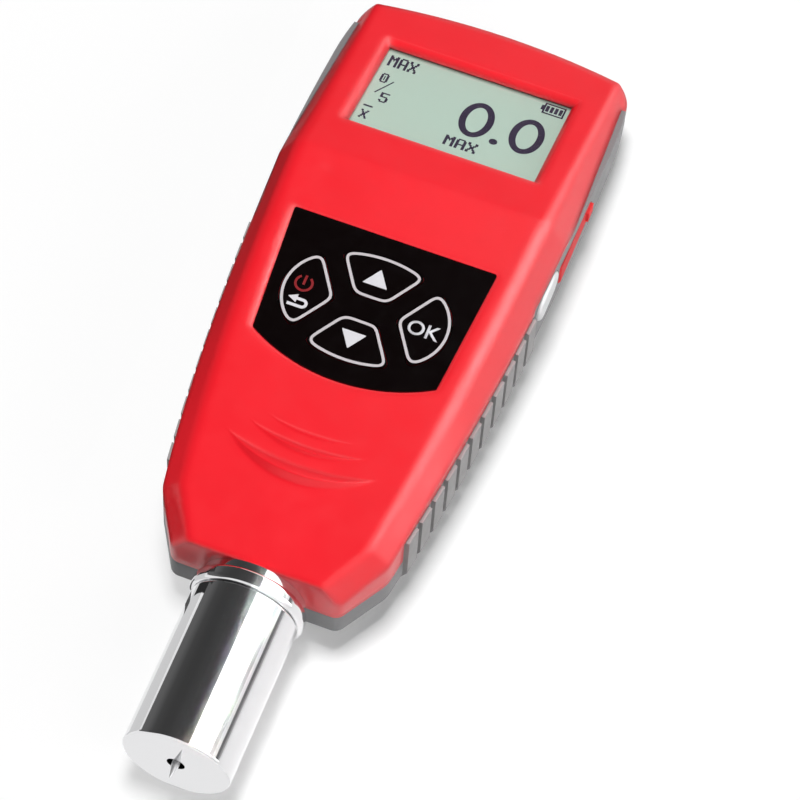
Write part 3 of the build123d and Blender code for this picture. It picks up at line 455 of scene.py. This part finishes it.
def machined_metal(name, dark, light, roughness):
    """Turned or ground metal with fine tool lines round its axis."""
    finish = Finish(name, Metallic=1.0)
    finish.colour(finish.mix(finish.speckle(3 * mm, 4.0), dark, light))
    finish.gloss(finish.speckle(0.4 * mm, 3.0, (4, 1, 4)), roughness - 0.07, roughness + 0.08)
    finish.relief(finish.speckle(0.12 * mm, 2.0, (None, 1, None)), 0.002 * mm)
    return finish.material


def solder_mask():
    """Green circuit board: glossy mask over a faint weave of glass cloth."""
    finish = Finish("solder_mask", Coat_Weight=0.4, Coat_Roughness=0.15)
    finish.colour(finish.mix(finish.speckle(1.2 * mm, 4.0), (0.008, 0.10, 0.035), (0.02, 0.17, 0.06)))
    finish.gloss(finish.speckle(0.6 * mm, 2.0), 0.30, 0.42)
    finish.relief(finish.speckle(0.5 * mm, 1.0, (2, 1, 1)), 0.006 * mm)
    return finish.material


def wound_copper():
    """Varnished copper winding, with turns side by side along the probe."""
    finish = Finish("wound_copper", Metallic=0.6)
    turns = finish.speckle(0.3 * mm, 2.0, (None, 1, None))
    finish.colour(finish.mix(turns, (0.22, 0.07, 0.02), (0.52, 0.22, 0.08)))
    finish.gloss(finish.speckle(1 * mm, 2.0), 0.30, 0.45)
    finish.relief(finish.speckle(0.2 * mm, 1.0, (None, 1, None)), 0.03 * mm)
    return finish.material


def cell_jacket():
    """Plain printed metal jacket of the cells."""
    finish = Finish("cell_jacket", Metallic=0.35, Coat_Weight=0.5, Coat_Roughness=0.12)
    finish.colour(finish.mix(finish.speckle(6 * mm, 3.0), (0.05, 0.06, 0.10), (0.09, 0.11, 0.17)))
    finish.gloss(finish.speckle(2 * mm, 3.0), 0.25, 0.36)
    finish.relief(finish.speckle(0.8 * mm, 2.0), 0.004 * mm)
    return finish.material


# Each plastic's lighter edge colour stands for handling wear and a painted highlight along its edges
red_case = moulded_plastic(
    "red_case", dark=(0.88, 0.010, 0.020), light=(0.93, 0.012, 0.024), worn_and_highlit=(0.95, 0.07, 0.08), roughness=0.33,
    grain_size=0.20 * mm, grain_depth=0.0022 * mm, shine=0.8, rounding=2.0 * mm, ridges=thumb_ridges)
grey_case = moulded_plastic(
    "grey_case", dark=(0.21, 0.21, 0.215), light=(0.235, 0.235, 0.24), worn_and_highlit=(0.28, 0.28, 0.285), roughness=0.48,
    grain_size=0.24 * mm, grain_depth=0.006 * mm)
white_cap = moulded_plastic(
    "white_cap", dark=(0.85, 0.86, 0.87), light=(0.89, 0.90, 0.91), worn_and_highlit=(0.92, 0.93, 0.94), roughness=0.36,
    grain_size=0.3 * mm, grain_depth=0.0015 * mm)
red_flap = moulded_plastic(
    "red_flap", dark=(0.84, 0.030, 0.036), light=(0.90, 0.038, 0.044), worn_and_highlit=(0.92, 0.07, 0.07), roughness=0.62,
    grain_size=0.18 * mm, grain_depth=0.006 * mm, shine=0.2)
dark_plastic = moulded_plastic(
    "dark_plastic", dark=(0.018, 0.018, 0.019), light=(0.03, 0.03, 0.032), worn_and_highlit=(0.05, 0.05, 0.052),
    roughness=0.5, grain_size=0.25 * mm, grain_depth=0.005 * mm)
key_ink = screen_ink("key_ink", (0.64, 0.63, 0.66), (0.73, 0.72, 0.755), 0.45)
outline_ink = screen_ink("outline_ink", (0.52, 0.48, 0.50), (0.61, 0.57, 0.59), 0.45)
red_ink = screen_ink("red_ink", (0.21, 0.007, 0.010), (0.28, 0.009, 0.013), 0.45)
display_ink = screen_ink("display_ink", (0.028, 0.018, 0.042), (0.042, 0.029, 0.060), 0.5, shine=0.08)

slot_finishes = {
    "red_shell": red_case,
    "grey_shell": grey_case,
    "grip_rubber": grip_rubber(),
    "black_panel": membrane("keypad_membrane", 0.18),
    "clear_window": clear_window(),
    "lcd_glass": display_film(),
    "dark_plastic": dark_plastic,
    "board": solder_mask(),
    "chrome": bright_chrome(),
    "steel": machined_metal("ground_steel", (0.46, 0.46, 0.47), (0.60, 0.60, 0.61), 0.28),
    "brass": machined_metal("turned_brass", (0.62, 0.44, 0.18), (0.78, 0.60, 0.29), 0.30),
    "copper_coil": wound_copper(),
    "white_plastic": white_cap,
    "red_cover": red_flap,
    "cell_jacket": cell_jacket(),
}
node_finishes = {
    "probe_barrel": slot_finishes["chrome"],
    "indenter": machined_metal("needle_steel", (0.86, 0.86, 0.87), (0.93, 0.93, 0.94), 0.60),
}
for node_name, slot_name in node_slots.items():
    for material_slot in nodes[node_name].material_slots:
        material_slot.material = node_finishes.get(node_name, slot_finishes[slot_name])


# Building blocks of the pieces

def top_plane(node_name, near):
    """Place on a node's largest upward face: X across, Z out of the face, origin under a point."""
    faces = [face for face in nodes[node_name].data.polygons if face.normal.z > upward]
    face = max(faces, key=lambda each: each.area)
    out = face.normal.normalized()
    across = Vector((1, 0, 0))
    along = out.cross(across)
    origin = near - out * (near - face.center).dot(out)
    return Matrix.Translation(origin) @ Matrix((across, along, out)).transposed().to_4x4()


def middle(node_name):
    """Centre of a node's box."""
    low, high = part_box(node_name)
    return (low + high) / 2


def raise_print(form, sink, rise):
    """Turn flat faces into a thin print, sunk a little into its surface so that it holds."""
    bmesh.ops.translate(form, verts=form.verts, vec=(0, 0, -sink))
    upper = bmesh.ops.extrude_face_region(form, geom=form.faces[:])
    upper_verts = [part for part in upper["geom"] if isinstance(part, bmesh.types.BMVert)]
    bmesh.ops.translate(form, verts=upper_verts, vec=(0, 0, sink + rise))
    bmesh.ops.recalc_face_normals(form, faces=form.faces)


def add_piece(name, form, place, body, finish):
    """Set a finished form in its place, with its finish, on the body that carries it."""
    bmesh.ops.transform(form, matrix=place, verts=form.verts)
    mesh = bpy.data.meshes.new(name)
    form.to_mesh(mesh)
    form.free()
    mesh.materials.append(finish)
    piece = bpy.data.objects.new(name, mesh)
    bpy.context.scene.collection.objects.link(piece)
    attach(piece, body)
    return piece


def flat_box(form, left, low, right, high):
    """Rectangle in the drawing plane."""
    shape = Matrix.Diagonal(((right - left) / 2, (high - low) / 2, 1, 1))
    place = Matrix.Translation(((left + right) / 2, (low + high) / 2, 0))
    bmesh.ops.create_grid(form, x_segments=1, y_segments=1, size=1.0, matrix=place @ shape)


def flat_bar(form, start, end, width):
    """Straight stroke of a width between two points."""
    run = end - start
    turn = Matrix.Rotation(math.atan2(run.y, run.x), 4, "Z")
    shape = Matrix.Diagonal((run.length / 2, width / 2, 1, 1))
    place = Matrix.Translation((start + end) / 2) @ turn
    bmesh.ops.create_grid(form, x_segments=1, y_segments=1, size=1.0, matrix=place @ shape)


def flat_arc(form, centre, radius, stroke, start, turn, steps):
    """Stroke that follows an arc, with its angles in degrees from the X axis."""
    aim = Matrix.Rotation(math.radians(start), 3, "Z") @ Vector((1, 0, 0))
    inner = form.verts.new(centre + aim * (radius - stroke / 2))
    outer = form.verts.new(centre + aim * (radius + stroke / 2))
    edge = form.edges.new((inner, outer))
    bmesh.ops.spin(
        form, geom=[inner, outer, edge], cent=centre, axis=(0, 0, 1), angle=math.radians(turn), steps=steps)


def flat_shape(form, points):
    """Face with a few corners."""
    form.faces.new([form.verts.new(point) for point in points])


# Measuring spring

def wound_spring():
    """The coil round the spindle, copied as a piece of its own on the case; the real coil shortens towards its
    adjuster as the needle is pushed in.
    """
    form = bmesh.new()
    form.from_mesh(nodes["measuring_spring"].data)
    bmesh.ops.remove_doubles(form, verts=form.verts, dist=merge_gap)
    spring = add_piece("wound_spring", form, Matrix.Identity(4), "case", slot_finishes["steel"])
    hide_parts("measuring_spring")
    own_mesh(spring)


wound_spring()


# Key prints

keypad = top_plane("key_up", middle("keypad_overlay"))


def round_corners(form):
    """Even out the steps along a face's edge, and smooth them until its corners are round."""
    bmesh.ops.remove_doubles(form, verts=form.verts, dist=outline_step)
    for edge in form.edges[:]:
        bmesh.ops.subdivide_edges(form, edges=[edge], cuts=int(edge.calc_length() / outline_step) - 1)
    for _ in range(outline_rounds):
        bmesh.ops.smooth_vert(form, verts=form.verts, factor=outline_ease, use_axis_x=True, use_axis_y=True)


def key_outline(node_name, body):
    """White line round the edge of a key's top."""
    form = bmesh.new()
    form.from_mesh(nodes[node_name].data)
    bmesh.ops.remove_doubles(form, verts=form.verts, dist=merge_gap)
    bmesh.ops.transform(form, matrix=keypad.inverted(), verts=form.verts)
    form.normal_update()
    others = [
        face for face in form.faces
        if face.normal.z < key_top_level or abs(face.calc_center_median().z) > key_top_gap]
    bmesh.ops.delete(form, geom=others, context="FACES")
    bmesh.ops.dissolve_faces(form, faces=form.faces[:])
    margin = bmesh.ops.inset_region(
        form, faces=form.faces[:], thickness=outline_margin, use_boundary=True, use_even_offset=True)
    bmesh.ops.delete(form, geom=margin["faces"], context="FACES")
    round_corners(form)
    rim = bmesh.ops.inset_region(
        form, faces=form.faces[:], thickness=outline_width, use_boundary=True, use_even_offset=True)
    inside = [face for face in form.faces if face not in rim["faces"]]
    bmesh.ops.delete(form, geom=inside, context="FACES")
    raise_print(form, print_sink, print_rise)
    add_piece(node_name + "_outline", form, keypad, body, outline_ink)


def arrow_mark(name, body, way):
    """Triangle that points up or down the case."""
    form = bmesh.new()
    left = Vector((arrow_aside - arrow_half_width * way, arrow_base * way, 0))
    right = Vector((arrow_aside + arrow_half_width * way, arrow_base * way, 0))
    tip = Vector((arrow_aside, arrow_tip * way, 0))
    flat_shape(form, (left, right, tip))
    bmesh.ops.bevel(
        form, geom=form.verts[:], offset=arrow_corner, affect="VERTICES", segments=arrow_corner_steps,
        profile=0.5, material=-1)
    raise_print(form, print_sink, print_rise)
    add_piece(name, form, keypad, body, key_ink)


def power_mark():
    """Open ring with a bar in its gap."""
    form = bmesh.new()
    flat_arc(form, power_centre, power_radius, power_stroke, 90 + power_gap, 360 - 2 * power_gap, power_steps)
    low = Vector((power_centre.x, power_bar_low, 0))
    high = Vector((power_centre.x, power_bar_high, 0))
    flat_bar(form, low, high, power_stroke)
    raise_print(form, print_sink, print_rise)
    add_piece("power_mark", form, keypad, "power_key", red_ink)


def return_mark():
    """Arrow that turns back on itself, pointing left."""
    form = bmesh.new()
    flat_arc(form, return_bend, return_radius, return_stroke, -90, 180, return_steps)
    upper = return_bend.y + return_radius
    lower = return_bend.y - return_radius
    half = return_stroke / 2
    flat_box(form, return_tail, lower - half, return_bend.x, lower + half)
    flat_box(form, return_head_base, upper - half, return_bend.x, upper + half)
    tip = Vector((return_head_tip, upper, 0))
    head_low = Vector((return_head_base, upper - return_head_half, 0))
    head_high = Vector((return_head_base, upper + return_head_half, 0))
    flat_shape(form, (tip, head_low, head_high))
    raise_print(form, print_sink, print_rise)
    add_piece("return_mark", form, keypad, "power_key", key_ink)


def ok_mark():
    """The two letters of the confirm key."""
    text = bpy.data.curves.new("ok_text", "FONT")
    text.body = "OK"
    text.offset = letter_weight
    writer = bpy.data.objects.new("ok_writer", text)
    bpy.context.scene.collection.objects.link(writer)
    bpy.context.view_layer.update()
    letters = bpy.data.meshes.new_from_object(writer)
    bpy.data.objects.remove(writer)
    form = bmesh.new()
    form.from_mesh(letters)
    bmesh.ops.remove_doubles(form, verts=form.verts, dist=letter_merge_gap)
    xs = [vert.co.x for vert in form.verts]
    ys = [vert.co.y for vert in form.verts]
    shape = Matrix.Diagonal((ok_width / (max(xs) - min(xs)), ok_height / (max(ys) - min(ys)), 1, 1))
    centred = Matrix.Translation((-(max(xs) + min(xs)) / 2, -(max(ys) + min(ys)) / 2, 0))
    bmesh.ops.transform(form, matrix=Matrix.Translation(ok_centre) @ shape @ centred, verts=form.verts)
    raise_print(form, print_sink, print_rise)
    add_piece("ok_mark", form, keypad, "ok_key", key_ink)


for key_name, key_body in (
        ("key_up", "up_key"), ("key_down", "down_key"), ("key_ok", "ok_key"), ("key_power", "power_key")):
    key_outline(key_name, key_body)
arrow_mark("up_mark", "up_key", 1)
arrow_mark("down_mark", "down_key", -1)
power_mark()
return_mark()
ok_mark()


# Display marks

display = top_plane("lcd_panel", middle("display_window"))
dot_letters = {
    "M": ("##...##", "###.###", "#######", "##.#.##", "##...##", "##...##", "##...##", "##...##"),
    "A": (".#####.", "##...##", "##...##", "##...##", "#######", "##...##", "##...##", "##...##"),
    "X": ("##...##", "##...##", ".##.##.", "..###..", "..###..", ".##.##.", "##...##", "##...##"),
    "0": (".#####.", "##...##", "##.#.##", "##.#.##", "##.#.##", "##.#.##", "##...##", ".#####."),
    "5": ("#######", "##.....", "##.....", "######.", ".....##", ".....##", "##...##", ".#####."),
    "x": ("##...##", ".##.##.", "..###..", "..###..", ".##.##.", "##...##"),
}


def add_mark(name, form):
    """Set a mark on the display."""
    raise_print(form, mark_sink, mark_rise)
    add_piece(name, form, display, "case", display_ink)


def dot_word(name, word, box):
    """Word of square dots that fills a box, letter by letter with one dot between."""
    left, low, right, high = (side * mm for side in box)
    rows = len(dot_letters[word[0]])
    columns = sum(len(dot_letters[letter][0]) + 1 for letter in word) - 1
    across = (right - left) / columns
    up = (high - low) / rows
    form = bmesh.new()
    first = 0
    for letter in word:
        for row, line in enumerate(dot_letters[letter]):
            for column, dot in enumerate(line):
                if dot == "#":
                    x = left + (first + column) * across
                    y = high - (row + 1) * up
                    flat_box(form, x, y, x + across, y + up)
        first += len(dot_letters[letter][0]) + 1
    bmesh.ops.remove_doubles(form, verts=form.verts, dist=merge_gap)
    add_mark(name, form)


def big_digit(name, centre_x):
    """Oval nought with heavier sides."""
    form = bmesh.new()
    place = Matrix.Translation((centre_x, digit_height_centre, 0))
    loops = []
    for half_width, half_height in (digit_outer, digit_inner):
        shape = place @ Matrix.Diagonal((half_width, half_height, 1, 1))
        ring = bmesh.ops.create_circle(form, cap_ends=False, segments=digit_sides, radius=1.0, matrix=shape)
        loops += list({edge for vert in ring["verts"] for edge in vert.link_edges})
    bmesh.ops.bridge_loops(form, edges=loops)
    add_mark(name, form)


def decimal_point():
    """Round point between the digits."""
    form = bmesh.new()
    bmesh.ops.create_circle(
        form, cap_ends=True, segments=point_sides, radius=point_radius, matrix=Matrix.Translation(point_centre))
    add_mark("decimal_point", form)


def slash_mark():
    """Slanting stroke between the count and its total."""
    form = bmesh.new()
    flat_bar(form, slash_low, slash_high, slash_width)
    add_mark("count_slash", form)


def mean_bar_mark():
    """Bar over the letter of the mean."""
    form = bmesh.new()
    flat_box(form, *(side * mm for side in mean_bar))
    add_mark("mean_bar", form)


def battery_mark():
    """Outline of a cell, its nub and the bars of its charge."""
    left, low, right, high = battery_box
    inner_left = left + battery_stroke
    inner_right = right - battery_stroke
    pitch = (inner_right - inner_left) / battery_bars
    boxes = [
        (left, low, right, low + battery_stroke),
        (left, high - battery_stroke, right, high),
        (left, low + battery_stroke, inner_left, high - battery_stroke),
        (inner_right, low + battery_stroke, right, high - battery_stroke),
        battery_nub,
    ]
    for bar in range(battery_bars):
        bar_left = inner_left + (bar + 0.5) * pitch - battery_bar_width / 2
        bar_low = low + 2 * battery_stroke
        boxes.append((bar_left, bar_low, bar_left + battery_bar_width, high - 2 * battery_stroke))
    form = bmesh.new()
    for box in boxes:
        flat_box(form, *(side * mm for side in box))
    add_mark("battery_mark", form)


dot_word("upper_word", "MAX", upper_word_box)
dot_word("lower_word", "MAX", lower_word_box)
dot_word("count_digit", "0", count_box)
dot_word("total_digit", "5", total_box)
dot_word("mean_letter", "x", mean_box)
slash_mark()
mean_bar_mark()
for digit_name, digit_x in zip(("left_digit", "right_digit"), digit_centres):
    big_digit(digit_name, digit_x)
decimal_point()
battery_mark()


# Studio

def background_rays(tree):
    """One for rays that see the backdrop straight, in a mirror or through glass."""
    rays = tree.nodes.new("ShaderNodeLightPath")
    total = rays.outputs["Is Camera Ray"]
    for kind in ("Is Glossy Ray", "Is Transmission Ray"):
        either = tree.nodes.new("ShaderNodeMath")
        either.operation = "MAXIMUM"
        tree.links.new(total, either.inputs[0])
        tree.links.new(rays.outputs[kind], either.inputs[1])
        total = either.outputs["Value"]
    return total


def stage_object(name, form, material):
    """Thing that belongs to the studio and not to the durometer."""
    mesh = bpy.data.meshes.new(name)
    form.to_mesh(mesh)
    form.free()
    mesh.materials.append(material)
    thing = bpy.data.objects.new(name, mesh)
    bpy.context.scene.collection.objects.link(thing)
    return thing


def white_floor():
    """Pale floor that keeps the object's shadow, more of it on the right than on the left, where a larger share
    of even glow paints light over it.
    """
    material = bpy.data.materials.new("white_floor")
    material.use_nodes = True
    tree = material.node_tree
    tree.nodes.clear()
    bounce = tree.nodes.new("ShaderNodeBsdfDiffuse")
    bounce.inputs["Color"].default_value = (floor_bounce, floor_bounce, floor_bounce, 1)
    paper = tree.nodes.new("ShaderNodeBsdfDiffuse")
    paper.inputs["Color"].default_value = (floor_white, floor_white, floor_white, 1)
    glow = tree.nodes.new("ShaderNodeEmission")
    place = tree.nodes.new("ShaderNodeTexCoord")
    across = tree.nodes.new("ShaderNodeSeparateXYZ")
    share = tree.nodes.new("ShaderNodeMapRange")
    share.inputs["From Min"].default_value, share.inputs["From Max"].default_value = floor_glow_ends
    share.inputs["To Min"].default_value, share.inputs["To Max"].default_value = floor_glow
    seen = tree.nodes.new("ShaderNodeMixShader")
    either = tree.nodes.new("ShaderNodeMixShader")
    output = tree.nodes.new("ShaderNodeOutputMaterial")
    tree.links.new(place.outputs["Object"], across.inputs["Vector"])
    tree.links.new(across.outputs["X"], share.inputs["Value"])
    tree.links.new(share.outputs["Result"], seen.inputs["Fac"])
    tree.links.new(paper.outputs["BSDF"], seen.inputs[1])
    tree.links.new(glow.outputs["Emission"], seen.inputs[2])
    tree.links.new(background_rays(tree), either.inputs["Fac"])
    tree.links.new(bounce.outputs["BSDF"], either.inputs[1])
    tree.links.new(seen.outputs["Shader"], either.inputs[2])
    tree.links.new(either.outputs["Shader"], output.inputs["Surface"])
    form = bmesh.new()
    low = Matrix.Translation((0, 0, cad_box[0].z - floor_gap))
    bmesh.ops.create_grid(form, x_segments=1, y_segments=1, size=floor_side / 2, matrix=low)
    stage_object("floor", form, material)


def grey_glow(name, grey=None):
    """Grey that no lamp changes: an even one, or the one that each point of a card carries."""
    material = bpy.data.materials.new(name)
    material.use_nodes = True
    tree = material.node_tree
    tree.nodes.clear()
    tone = tree.nodes.new("ShaderNodeEmission")
    if grey is None:
        carried = tree.nodes.new("ShaderNodeAttribute")
        carried.attribute_name = "grey"
        tree.links.new(carried.outputs["Fac"], tone.inputs["Strength"])
    else:
        tone.inputs["Color"].default_value = (grey, grey, grey, 1)
    output = tree.nodes.new("ShaderNodeOutputMaterial")
    tree.links.new(tone.outputs["Emission"], output.inputs["Surface"])
    return material


def tone_at(tones, angle):
    """Grey at an angle, between the two tones on either side of it."""
    for (start, first), (end, second) in zip(tones, tones[1:]):
        if angle <= end:
            break
    return first + (second - first) * (angle - start) / (end - start)


def studio_card(name, tones, ends):
    """Card bent about the probe's direction, with greys along it, for the chrome to mirror."""
    form = bmesh.new()
    start, end = tones[0][0], tones[-1][0]
    aim = Vector((math.sin(math.radians(start)), 0, math.cos(math.radians(start)))) * card_radius
    near, far = (form.verts.new(aim + Vector((0, y, 0))) for y in ends)
    edge = form.edges.new((near, far))
    bmesh.ops.spin(
        form, geom=[near, far, edge], cent=(0, 0, 0), axis=(0, 1, 0), angle=math.radians(end - start),
        steps=card_steps)
    grey = form.verts.layers.float.new("grey")
    for vert in form.verts:
        vert[grey] = tone_at(tones, math.degrees(math.atan2(vert.co.x, vert.co.z)))
    card = stage_object(name, form, grey_glow(name))
    card.visible_camera = False


def low_card(name, centre, spans, grey, use):
    """Card beside the object, lying flat or, without a span across, standing: for mirrors, shade or both."""
    form = bmesh.new()
    bmesh.ops.create_grid(form, x_segments=1, y_segments=1, size=0.5)
    if not spans[0]:
        bmesh.ops.rotate(form, verts=form.verts, matrix=Matrix.Rotation(math.radians(90), 3, "Y"))
    bmesh.ops.scale(form, verts=form.verts, vec=[(span or 1) * mm for span in spans])
    bmesh.ops.translate(form, verts=form.verts, vec=Vector(centre) * mm)
    card = stage_object(name, form, grey_glow(name, grey))
    card.visible_camera = False
    card.visible_shadow = False
    card.visible_glossy = "mirror" in use
    card.visible_diffuse = "shade" in use


def softbox(name, place, size, power, use):
    """Rectangular lamp aimed at the object, for its gloss alone or for everything else."""
    lamp = bpy.data.lights.new(name, "AREA")
    lamp.shape = "RECTANGLE"
    lamp.size, lamp.size_y = size
    lamp.energy = power
    holder = bpy.data.objects.new(name, lamp)
    holder.location = place
    holder.rotation_euler = (-holder.location).to_track_quat("-Z", "Y").to_euler()
    holder.visible_camera = False
    holder.visible_glossy = use == "glossy"
    holder.visible_diffuse = use == "diffuse"
    lamp.cycles.use_multiple_importance_sampling = False
    bpy.context.scene.collection.objects.link(holder)


def pale_world():
    """White where the background is seen or mirrored, and a weaker fill everywhere else."""
    world = bpy.data.worlds.new("studio")
    bpy.context.scene.world = world
    world.use_nodes = True
    tree = world.node_tree
    sky = tree.nodes["Background"]
    sky.inputs["Color"].default_value = (1, 1, 1, 1)
    strength = tree.nodes.new("ShaderNodeMath")
    strength.operation = "MULTIPLY_ADD"
    strength.inputs[1].default_value = 1 - world_fill
    strength.inputs[2].default_value = world_fill
    tree.links.new(background_rays(tree), strength.inputs[0])
    tree.links.new(strength.outputs["Value"], sky.inputs["Strength"])


def photo_camera():
    """Camera at the photograph's place, aimed, tilted and rolled as it was."""
    turn = Matrix.Rotation(math.radians(view_azimuth), 4, "Z")
    tilt = Matrix.Rotation(math.radians(90 - view_elevation), 4, "X")
    roll = Matrix.Rotation(math.radians(view_roll), 4, "Z")
    back = Matrix.Translation((0, 0, view_distance))
    camera = bpy.data.cameras.new("photo_camera")
    camera.lens = view_lens
    camera.sensor_width = sensor_width
    holder = bpy.data.objects.new("photo_camera", camera)
    holder.matrix_world = Matrix.Translation(view_target) @ turn @ tilt @ roll @ back
    bpy.context.scene.collection.objects.link(holder)
    bpy.context.scene.camera = holder


white_floor()
for card_name, card_values in studio_cards.items():
    studio_card(card_name, *card_values)
for card_name, card_values in low_cards.items():
    low_card(card_name, *card_values)
for lamp_name, lamp_values in lamps.items():
    softbox(lamp_name, *lamp_values)
pale_world()
photo_camera()
bpy.context.scene.view_settings.view_transform = "Standard"
